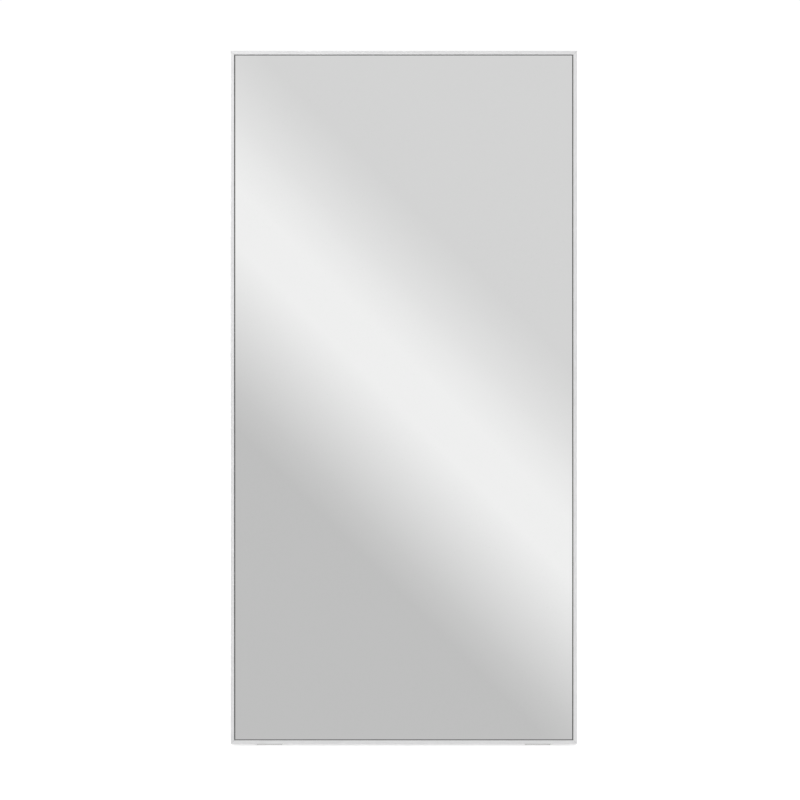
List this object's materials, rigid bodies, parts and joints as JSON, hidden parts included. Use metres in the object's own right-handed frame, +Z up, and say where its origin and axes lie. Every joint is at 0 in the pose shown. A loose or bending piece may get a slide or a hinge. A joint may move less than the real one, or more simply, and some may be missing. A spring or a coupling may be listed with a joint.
{
  "type": "cheval floor mirror",
  "caption": "Full-length framed floor mirror that leans back on a fold-out U-shaped steel stand, with rubber feet and keyhole plates for hanging it on a wall instead.",
  "frame": {"origin": "on the floor, at the middle of the footprint, between the front feet and the stand", "axes": "+Z up, -Y towards the person looking in the mirror, +X to that person's right"},
  "size_m": [0.8, 0.348, 1.5902],
  "materials": {
    "frame_aluminium": "satin",
    "mirror_glass": "polished",
    "glazing_vinyl": "satin",
    "safety_film": "satin",
    "cushion_card": "matte",
    "backing_hardboard": "matte",
    "block_rubber": "matte",
    "key_nylon": "satin",
    "washer_nylon": "satin",
    "zinc_steel": "satin",
    "stand_coating": "satin",
    "foot_rubber": "matte",
    "shoe_rubber": "matte"
  },
  "bodies": {
    "mirror": {"rail_left": "frame_aluminium", "rail_right": "frame_aluminium", "rail_top": "frame_aluminium", "rail_bottom": "frame_aluminium", "mirror_pane": "mirror_glass", "bead_left": "glazing_vinyl", "bead_right": "glazing_vinyl", "bead_top": "glazing_vinyl", "bead_bottom": "glazing_vinyl", "safety_film": "safety_film", "cushion_sheet": "cushion_card", "backing_board": "backing_hardboard", "setting_block_left": "block_rubber", "setting_block_right": "block_rubber", "corner_key_bottom_left": "key_nylon", "corner_key_bottom_right": "key_nylon", "corner_key_top_left": "key_nylon", "corner_key_top_right": "key_nylon", "washer_left_inner": "washer_nylon", "washer_left_outer": "washer_nylon", "washer_right_inner": "washer_nylon", "washer_right_outer": "washer_nylon", "corner_screw_bottom_left_1": "zinc_steel", "corner_screw_bottom_left_2": "zinc_steel", "corner_screw_bottom_right_1": "zinc_steel", "corner_screw_bottom_right_2": "zinc_steel", "corner_screw_top_left_1": "zinc_steel", "corner_screw_top_left_2": "zinc_steel", "corner_screw_top_right_1": "zinc_steel", "corner_screw_top_right_2": "zinc_steel", "hanger_plate_left": "zinc_steel", "hanger_plate_right": "zinc_steel", "hanger_screw_left_1": "zinc_steel", "hanger_screw_left_2": "zinc_steel", "hanger_screw_right_1": "zinc_steel", "hanger_screw_right_2": "zinc_steel", "hinge_bracket_left": "zinc_steel", "hinge_bracket_right": "zinc_steel", "nut_plate_left": "zinc_steel", "nut_plate_right": "zinc_steel", "bracket_screw_left_lower": "zinc_steel", "bracket_screw_left_upper": "zinc_steel", "bracket_screw_right_lower": "zinc_steel", "bracket_screw_right_upper": "zinc_steel", "pivot_bolt_left": "zinc_steel", "pivot_bolt_right": "zinc_steel", "lock_nut_left": "zinc_steel", "lock_nut_right": "zinc_steel", "foot_pad_left": "foot_rubber", "foot_pad_right": "foot_rubber"},
    "stand": {"stand_tube": "stand_coating", "stand_eye_left": "stand_coating", "stand_eye_right": "stand_coating", "stand_shoe_left": "shoe_rubber", "stand_shoe_right": "shoe_rubber"}
  },
  "joints": [
    {"name": "stand_fold", "type": "hinge", "parent": "mirror", "child": "stand", "pos_m": [0, 0.00792, 0.99014], "axis": [-1, 0, 0], "range_deg": [0, 17]}
  ]
}
